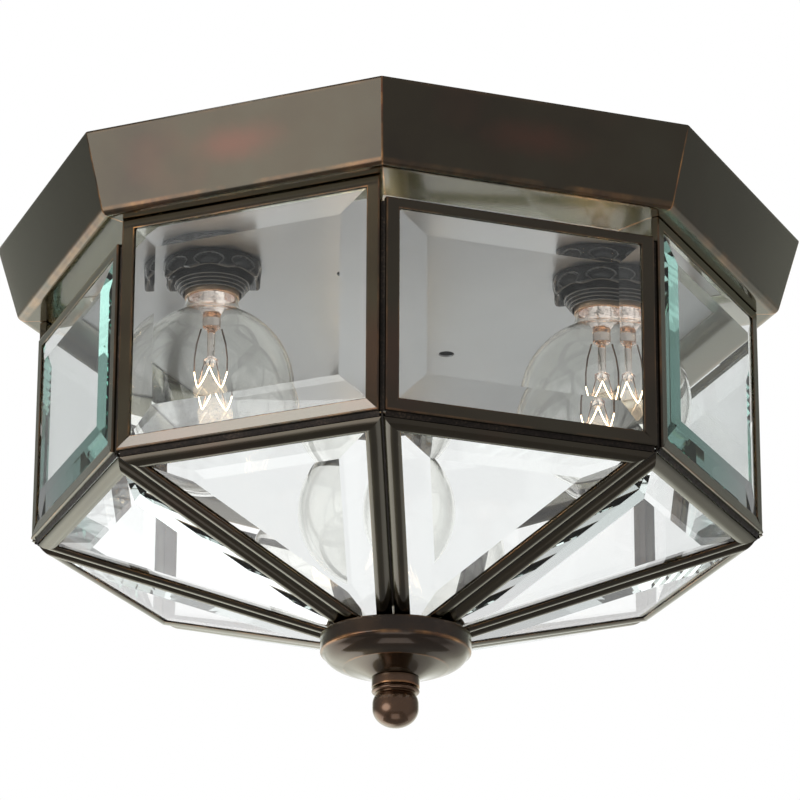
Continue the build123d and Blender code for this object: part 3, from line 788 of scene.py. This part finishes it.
def make_cap():
    """The turned bowl with its rim band, rounded step and hollow foot."""
    top = CAP_TOP_Z
    rim, wall, bore, boss = CAP_RADIUS, 1.6, 5.3, 8.5
    boss_z, hollow_z = top - 6.0, top - 19.0
    band_z, band_inside_z = top - 8.3, top - 8.0
    belly_top, belly, belly_end = (rim - 1.4, top - 9.0), (31.4, top - 12.9), (25.6, top - 15.2)
    step, sole, foot = (25.0, top - 15.6), (18.0, top - 17.6), (11.4, top - CAP_DEPTH)
    outline = soft(
        [
            (bore, top - CAP_DEPTH),
            (bore, boss_z),
            (boss, boss_z),
            (boss, hollow_z),
            (step[0] - wall, step[1] + wall),
            (rim - wall, band_inside_z),
            (rim - wall, top, 0.2),
            (rim, top, 0.4, 0.3),
            (rim, band_z, 0.8, 1.0),
            belly_top,
            *curve(belly_top, belly, belly_end, 8),
            (*step, 1.2, 0.9),
            *curve(step, sole, foot, 6),
            (*foot, 0.2),
        ],
        steps=5,
    )
    build = Build()
    build.turn(outline, AXIS, segments=128)
    build.finish("cap_bowl", "cage", "bronze", ["finial_cap"], smooth=35, look="warm_bronze")


def make_finial():
    """The neck ring, bead and squat ball."""
    top = FINIAL_TOP_Z
    blind_z = top - 14.45
    ring, ring_z = 11.5, top - 5.0
    under_ring, groove = 9.4, 9.2
    bead_high, bead, bead_low = (10.4, top - 5.5), (ring, top - 6.65), (10.4, top - 7.8)
    neck, cheek, shoulder = (groove, top - 8.3), (10.45, top - 9.9), (11.1, top - 12.7)
    ball, waist, bottom, ball_steps = 11.1, top - 15.1, top - 24.3, 14
    corners = [
        (0, blind_z),
        (ROD_BORE, blind_z),
        (ROD_BORE, top),
        (ring, top, 0.6),
        (ring, ring_z, 0.5, 0.8),
        (under_ring, ring_z),
        (groove, bead_high[1]),
        (*bead_high, 0, 0.1),
        *curve(bead_high, bead, bead_low, 8),
        (*bead_low, 0, 0.1),
        (groove, bead_low[1]),
        (*neck, 0.3),
        *curve(neck, cheek, shoulder, 8),
        shoulder,
        (ball, waist),
    ]
    for k in range(1, ball_steps):
        turn = math.pi / 2 * k / ball_steps
        corners.append((ball * math.cos(turn), waist - (waist - bottom) * math.sin(turn)))
    corners.append((0, bottom))
    build = Build()
    build.turn(soft(corners, closed=False), AXIS, open_section=True)
    # The finial takes the lighter bronze, a painted sheen.
    build.finish("finial_knob", "finial", "bronze", ["finial"], smooth=35, look="red_bronze_painted_sheen")


def holder_outline():
    """Half the outline of a lampholder's body, which steps in towards its mouth."""
    rear, rear_z = 19.0, PLATE_TOP_Z + 34.0
    flange, flange_z = 21.5, PLATE_TOP_Z + 3.0
    mouth, bore, seat_z = 14.7, 13.9, LAMP_TIP_Z + 1.1
    steps, step_in = 3, 1.1
    drop = (HOLDER_RING_Z - HOLDER_MOUTH_Z) / (steps + 1)
    corners = [
        (0, rear_z),
        (rear, rear_z, 1.2),
        (rear, flange_z, 0.4),
        (flange, flange_z, 0.5),
        (flange, PLATE_TOP_Z, 0.2),
        (HOLDER_THREAD, PLATE_TOP_Z, 0.1),
    ]
    for i in range(steps):
        z = HOLDER_RING_Z - drop * (i + 1)
        # Each step's outer edge carries a painted highlight.
        corners.append((HOLDER_THREAD - step_in * i, z, 0.3, 0.6))
        corners.append((HOLDER_THREAD - step_in * (i + 1), z, 0.1))
    corners += [
        # The mouth's edge carries a painted highlight too.
        (mouth, HOLDER_MOUTH_Z, 0.4, 0.5),
        (bore, HOLDER_MOUTH_Z, 0.2),
        (bore, seat_z),
        (0, seat_z),
    ]
    return soft(corners, steps=3, margin=0.12, closed=False)


def clamp_sections():
    """Sections all round a clamping ring, with lugs between its flutes and a finger dent on each lug.

    They come with their painted highlights, grey marks on the dent rims and the foot's edges. A point of the
    foot is its radius on a lug, how far a flute pulls it in, its height above the lower edge and its painted
    highlight.
    """
    segments, rows, flutes = 320, 24, 8
    pitch = 360 / flutes
    inner, rim, skirt, flare = HOLDER_THREAD + 0.15, 22.6, 23.3, 0.5
    flute_in, flute_up, flute_round = 1.6, 2.0, 0.7
    dent, dent_edge = 1.6, 0.25
    # The painted highlight on a dent's rim, and the band of the dent measure that it covers.
    dent_highlight, highlight_from, highlight_to = 0.7, 0.9, 1.15
    dent_half_width, dent_half_height, dent_z = 17.0, 2.9, HOLDER_RING_Z + 4.2
    foot = [(23.2, 2.0, 0.2, 0.35), (22.4, 2.0, 0.0, 0.35), (21.6, 1.8, 0.5, 0.0), (20.2, 1.2, 2.0, 0.0)]
    sections, rubs_and_highlights = [], []
    for i in range(segments):
        angle = 360.0 * i / segments
        lean = (angle + pitch / 2) % pitch - pitch / 2
        gap = (0.5 + 0.5 * math.cos(math.radians(lean * flutes))) ** flute_round
        low = HOLDER_RING_Z + flute_up * gap
        start, end = PLATE_Z - 0.5, low + 1.0
        row = [(inner, PLATE_Z, 0.0), (rim, PLATE_Z, 0.0)]
        for k in range(rows + 1):
            height = start + (end - start) * k / rows
            away = (lean / dent_half_width) ** 2 + ((height - dent_z) / dent_half_height) ** 2
            sunk = dent * min(1.0, max(0.0, 1.0 - away) / dent_edge)
            reach = skirt + flare * k / rows - sunk - flute_in * gap * (k / rows) ** 3
            # Painted highlight along the rim of each finger dent.
            row.append((reach, height, dent_highlight if highlight_from < away < highlight_to else 0.0))
        row += [(radius - pull * gap, low + above, rub_and_highlight) for radius, pull, above, rub_and_highlight in foot]
        row.append((inner, dent_z, 0.0))
        sections.append([polar(reach, angle, height) for reach, height, _ in row])
        rubs_and_highlights.append([rub_and_highlight for _, _, rub_and_highlight in row])
    return sections, rubs_and_highlights


def make_sockets():
    """The moulded lampholders and their fluted clamping rings."""
    outline = holder_outline()
    sections, rubs_and_highlights = clamp_sections()
    for name, azimuth in HOLDERS.items():
        place = polar(HOLDER_RADIUS, azimuth)
        build = Build()
        build.turn(outline, place, open_section=True)
        build.finish(f"holder_body_{name}", "base", "phenolic", [f"socket_body_{name}"], smooth=50)
        build = Build()
        build.loft([[place + point for point in section] for section in sections], rubs_and_highlights, wrap=True)
        build.finish(f"holder_ring_{name}", "base", "phenolic", [f"socket_ring_{name}"], smooth=70)


def globe_line(depth):
    """Half the outline of a globe with a short neck, this deep in its glass, from the bottom up."""
    radius, neck, blend = GLOBE_RADIUS - depth, NECK_RADIUS - depth, NECK_BLEND + depth
    globe_steps, blend_steps = 40, 6
    centre = LAMP_TIP_Z - LAMP_LENGTH + GLOBE_RADIUS
    rise = math.sqrt((radius + blend) ** 2 - (neck + blend) ** 2)
    lean = math.atan2(neck + blend, rise)
    row = []
    for k in range(globe_steps + 1):
        turn = math.pi - (math.pi - lean) * k / globe_steps
        row.append((radius * math.sin(turn), centre + radius * math.cos(turn), 0.0))
    for k in range(1, blend_steps + 1):
        turn = lean + (math.pi / 2 - lean) * k / blend_steps
        row.append((neck + blend - blend * math.sin(turn), centre + rise - blend * math.cos(turn), 0.0))
    row.append((neck, LAMP_NECK_Z + NECK_IN_BASE, 0.0))
    return row


def stem_outline():
    """Half the outline of a lamp's glass stem: flare, pressed tube, thin rod and button."""
    top = LAMP_NECK_Z
    flare, throat, tube, rod, button, tip = 11.3, 6.4, 4.3, 1.9, 3.6, 1.6
    tip_z = top - 34.6
    corners = [
        (0, top),
        (flare, top, 0.3),
        (throat, top - 4.0, 2.0),
        (tube, top - 8.0, 1.0),
        (tube, top - 14.5, 1.2),
        (rod, top - 16.4, 0.8),
        (rod, top - 29.8, 0.6),
        (button, top - 31.0, 1.2),
        (button, top - 33.8, 1.2),
        (tip, tip_z, 0.5),
        (0, tip_z),
    ]
    return soft(corners, closed=False)


def collar_outline():
    """The section of the metal collar inside a lamp's neck."""
    top = LAMP_NECK_Z
    inner, outer = 4.0, 11.4
    corners = [
        (inner, top + 2.2),
        (outer, top + 2.2),
        (outer, top + 0.6, 0.4),
        (inner, top + 1.4),
    ]
    return soft(corners)


def wave_points(place):
    """The filament's turning points, from one lead round the front to the other."""
    high, low = LAMP_TIP_Z - 64.6, LAMP_TIP_Z - 74.6
    return [place + polar(WAVE_RADIUS, 90 - WAVE_SPACING * i, low if i % 2 else high) for i in range(5)]


def filament_line(waves):
    """The filament from support to support, sagging a little between them."""
    steps, sag = 8, 1.2
    line = []
    for start, end in zip(waves, waves[1:]):
        for k in range(steps):
            t = k / steps
            line.append(start.lerp(end, t) - Vector((0, 0, sag * 4 * t * (1 - t))))
    return line + [waves[-1]]


def add_leads(build, place, waves):
    """The two leads out of the stem's press and the three supports out of its button."""
    press, press_z, bend_z = 4.9, LAMP_NECK_Z - 15.2, LAMP_NECK_Z - 30.0
    root_radius, root_z = 3.7, LAMP_NECK_Z - 32.3
    lead, lead_bow = 0.4, 0.5
    support, support_bow = 0.25, Vector((0, 0, 0.6))
    for side, wave in ((1, waves[0]), (-1, waves[-1])):
        start = place + Vector((side * press, 0, press_z))
        bend = place + Vector((side * WAVE_RADIUS, 0, bend_z))
        bow = Vector((side * lead_bow, 0, 0))
        build.tube([start, start.lerp(bend, 0.5) + bow, bend, wave], lead)
    for i in (1, 2, 3):
        start = place + polar(root_radius, 90 - WAVE_SPACING * i, root_z)
        build.tube([start, start.lerp(waves[i], 0.5) + support_bow, waves[i]], support)


def add_glow(name, place):
    """The lit filament's light on the parts round it, itself unseen."""
    glow = bpy.data.lights.new(name, "POINT")
    glow.energy = 0.10
    glow.color = (1.0, 0.76, 0.52)
    glow.shadow_soft_size = 0.008
    lamp = bpy.data.objects.new(name, glow)
    bpy.context.scene.collection.objects.link(lamp)
    lamp.location = (place + Vector((0, 0, LAMP_TIP_Z - 70.0))) * MM
    lamp.visible_camera = False
    lamp.visible_transmission = False


def make_lamps():
    """Clear globes with a stem, leads, supports and a lit filament, on a screw base."""
    shell = globe_line(0.0) + globe_line(GLOBE_WALL)[::-1]
    stem, collar = stem_outline(), collar_outline()
    wire = 0.25
    for name, azimuth in HOLDERS.items():
        place = polar(HOLDER_RADIUS, azimuth)
        body = f"lamp_{name}"
        waves = wave_points(place)
        build = Build()
        build.turn(shell, place, open_section=True)
        build.finish(f"globe_{name}", body, "bulb_glass", [f"lamp_globe_{name}"], smooth=60)
        build = Build()
        build.turn(stem, place, segments=48, open_section=True)
        build.finish(f"stem_{name}", body, "stem_glass", [f"lamp_stem_{name}"], smooth=60)
        build = Build()
        build.turn(collar, place, segments=64)
        build.finish(f"collar_{name}", body, "lamp_brass")
        build = Build()
        build.tube(filament_line(waves), wire)
        build.finish(f"filament_{name}", body, "filament", [f"lamp_filament_{name}"], smooth=60)
        build = Build()
        add_leads(build, place, waves)
        build.finish(f"leads_{name}", body, "filament", look="lamp_wire")
        add_glow(f"glow_{name}", place)


def make_rod():
    """The threaded rod."""
    pitch, depth, per_turn, segments = 1.5, 0.45, 4, 24
    high, low = PLATE_TOP_Z + 16.0, FINIAL_TOP_Z - 14.0
    count = int((high - low) / pitch * per_turn)
    rings = []
    for i in range(segments):
        angle = 360.0 * i / segments
        ring = [Vector((0, 0, high))]
        for k in range(count + 1):
            z = high + (low - high) * k / count
            wave = math.cos(2 * math.pi * (z / pitch + i / segments))
            ring.append(polar(ROD_RADIUS - depth / 2 * (1 - wave), angle, z))
        ring.append(Vector((0, 0, low)))
        rings.append(ring)
    build = Build()
    build.loft(rings, [[0.0] * len(rings[0])] * segments, wrap=True, open_section=True)
    build.finish("rod_thread", "base", "steel", ["centre_rod"], smooth=50)


def make_nuts():
    """A washer and a chamfered hex nut on each face of the plate."""
    washer, flat, corner = 11.0, 7.15, 8.3
    foot, crown, mouth = 7.6, 7.2, 5.6
    washer_top, nut_top, seat_gap = 1.2, 6.2, 0.02

    def hexagon(angle):
        return flat / math.cos(math.radians((angle + 30) % 60 - 30))

    build = Build()
    for face, side in ((PLATE_TOP_Z, 1), (PLATE_Z, -1)):
        on, end = face + side * washer_top, face + side * nut_top
        seat = on + side * seat_gap
        ring = [
            (ROD_BORE, face),
            (washer, face, 0.2),
            (washer, on, 0.4),
            (ROD_BORE, on),
        ]
        build.turn(soft(ring), AXIS)
        nut = [
            (ROD_BORE, seat),
            (foot, seat),
            (corner, on + side * 0.5),
            (corner, end - side * 0.6),
            (crown, end),
            (mouth, end),
            (ROD_BORE, end - side * 0.5),
        ]
        build.turn(soft(nut), AXIS, limit=hexagon)
    build.finish("rod_hex_nuts", "base", "steel", ["rod_nuts"], smooth=30)


# Camera, lights and stage
def add_camera():
    """The photograph's viewpoint, solved from the octagon's corners."""
    focal_pixels, photo_pixels, sensor = 4376.34, 800, 36.0
    place = Vector((0.0741, -1.9937, -0.8369))
    forward = Vector((-0.034, 0.93469, 0.35384)).normalized()
    level = Vector((0.99938, 0.03502, 0.0035))
    right = (level - forward * level.dot(forward)).normalized()
    up = right.cross(forward)
    data = bpy.data.cameras.new("camera")
    data.sensor_width = sensor
    data.lens = focal_pixels / photo_pixels * sensor
    data.clip_start = 0.05
    data.clip_end = 50.0
    camera = bpy.data.objects.new("camera", data)
    bpy.context.scene.collection.objects.link(camera)
    turn = Matrix((right, up, -forward)).transposed().to_4x4()
    camera.matrix_world = Matrix.Translation(place) @ turn
    bpy.context.scene.camera = camera


def add_area(name, place, target, size, power):
    """A soft square lamp aimed at a point."""
    data = bpy.data.lights.new(name, "AREA")
    data.shape = "SQUARE"
    data.size = size
    data.energy = power
    lamp = bpy.data.objects.new(name, data)
    bpy.context.scene.collection.objects.link(lamp)
    lamp.location = place
    lamp.rotation_euler = (Vector(target) - Vector(place)).to_track_quat("-Z", "Y").to_euler()
    lamp.visible_camera = False
    return lamp


def add_lights():
    """A small key from the upper left, and a broad fill from below that isn't seen through the glass."""
    add_area("key", place=(-1.69, -1.42, 1.22), target=(0, 0, -0.1), size=0.4, power=2.0)
    fill = add_area("low_fill", place=(0, -0.45, -2.5), target=(0, -0.05, -0.2), size=1.3, power=3.2)
    fill.visible_transmission = False


def add_world():
    """A white backdrop for the camera and beyond the panes, and a dim studio with soft lamps for the rest."""
    world = bpy.data.worlds.new("studio")
    bpy.context.scene.world = world
    world.use_nodes = True
    sky = Nodes(world.node_tree)
    out = sky.add("ShaderNodeOutputWorld")
    direction = sky.add("ShaderNodeTexCoord").outputs["Generated"]
    axes = sky.add("ShaderNodeSeparateXYZ", {"Vector": direction}).outputs

    def rise(value, low, high, level=1.0):
        return sky.span(value, low, high, 0.0, level, "SMOOTHSTEP")

    def lobe(azimuth, elevation, inner, outer, level):
        """A lamp that is full up to the inner angle from its middle and gone at the outer one."""
        lean = math.radians(elevation)
        aim = polar(math.cos(lean), azimuth, math.sin(lean))
        dot = sky.add("ShaderNodeVectorMath", {0: direction, 1: aim}, operation="DOT_PRODUCT")
        near, far = math.cos(math.radians(inner)), math.cos(math.radians(outer))
        return rise(dot.outputs["Value"], far, near, level)

    lamps = [
        lobe(azimuth=-47, elevation=-11, inner=14, outer=27, level=1.8),
        lobe(azimuth=-50, elevation=32, inner=3, outer=7, level=3.5),
        lobe(azimuth=-140, elevation=-30, inner=20, outer=40, level=1.3),
        lobe(azimuth=140, elevation=-30, inner=16, outer=36, level=0.4),
    ]
    front_level, back_level = 0.36, 0.24
    studio = sky.span(axes["Y"], -0.35, 0.45, front_level, back_level, "SMOOTHSTEP")
    for lamp in lamps:
        studio = sky.math("ADD", studio, lamp)
    path = sky.add("ShaderNodeLightPath").outputs
    mirrored = sky.math("MULTIPLY", path["Is Glossy Ray"], rise(axes["Y"], 0.70, 0.90))
    depth = rise(sky.math("ABSOLUTE", axes["Y"]), 0.6, 0.9)
    width = rise(sky.math("ABSOLUTE", axes["X"]), 0.8, 0.95)
    through = sky.math("MULTIPLY", path["Is Transmission Ray"], sky.math("MAXIMUM", depth, width))
    shown = sky.math("MAXIMUM", path["Is Camera Ray"], sky.math("MAXIMUM", mirrored, through))
    level = sky.math("MAXIMUM", studio, shown)
    backdrop = sky.add("ShaderNodeBackground", {"Color": WHITE, "Strength": level})
    sky.put(out.inputs["Surface"], backdrop.outputs[0])


def add_sheet(name, size, level, dark, light, backdrop=False):
    """A plain level sheet of the studio; a backdrop is nearly white to the camera, and pale through glass."""
    shader = Shader(name)
    colour = shader.ramp(shader.noise(2.0, 3), (0.3, grey(dark)), (0.7, grey(light)))
    surface = shader.principled(Base_Color=colour, Roughness=0.7)
    if backdrop:
        path = shader.add("ShaderNodeLightPath").outputs
        direct = shader.math("MULTIPLY", path["Is Camera Ray"], 0.97)
        through = shader.math("MULTIPLY", path["Is Transmission Ray"], 0.3)
        white = shader.add("ShaderNodeEmission", {"Color": WHITE, "Strength": 1.0}).outputs[0]
        surface = shader.blend(shader.math("MAXIMUM", direct, through), surface, white)
    shader.surface(surface)
    mesh = bpy.data.meshes.new(name)
    corners = [(-size, -size, level), (size, -size, level), (size, size, level), (-size, size, level)]
    mesh.from_pydata(corners, [], [(0, 1, 2, 3)])
    sheet = bpy.data.objects.new(name, mesh)
    bpy.context.scene.collection.objects.link(sheet)
    mesh.materials.append(shader.material)
    return sheet


def add_stage():
    """A pale floor well below, and a dark sheet at ceiling height, seen only through glass, that paints the
    shade behind the plate's holes.
    """
    add_sheet("floor_pale", size=3.2, level=-3.8, dark=0.64, light=0.68, backdrop=True)
    # Painted shade: a dark sheet, seen only through glass, behind the plate's holes.
    shade_sheet = add_sheet("painted_shade_sheet", size=0.18, level=0.004, dark=0.02, light=0.03)
    shade_sheet.visible_camera = False
    shade_sheet.visible_diffuse = False
    shade_sheet.visible_glossy = False
    shade_sheet.visible_shadow = False


def set_render():
    """Plain colours, and enough bounces for glass behind glass."""
    glass_bounces = 64
    scene = bpy.context.scene
    scene.view_settings.view_transform = "Standard"
    scene.cycles.sample_clamp_indirect = 6.0
    scene.cycles.max_bounces = glass_bounces
    scene.cycles.glossy_bounces = glass_bounces
    scene.cycles.transmission_bounces = glass_bounces
    scene.cycles.transparent_max_bounces = glass_bounces // 2


# The light, then the studio round it
dress_cad()
make_pan()
make_cage_frames()
make_solder()
make_cap()
make_finial()
make_sockets()
make_lamps()
make_rod()
make_nuts()
add_camera()
add_world()
add_stage()
add_lights()
set_render()
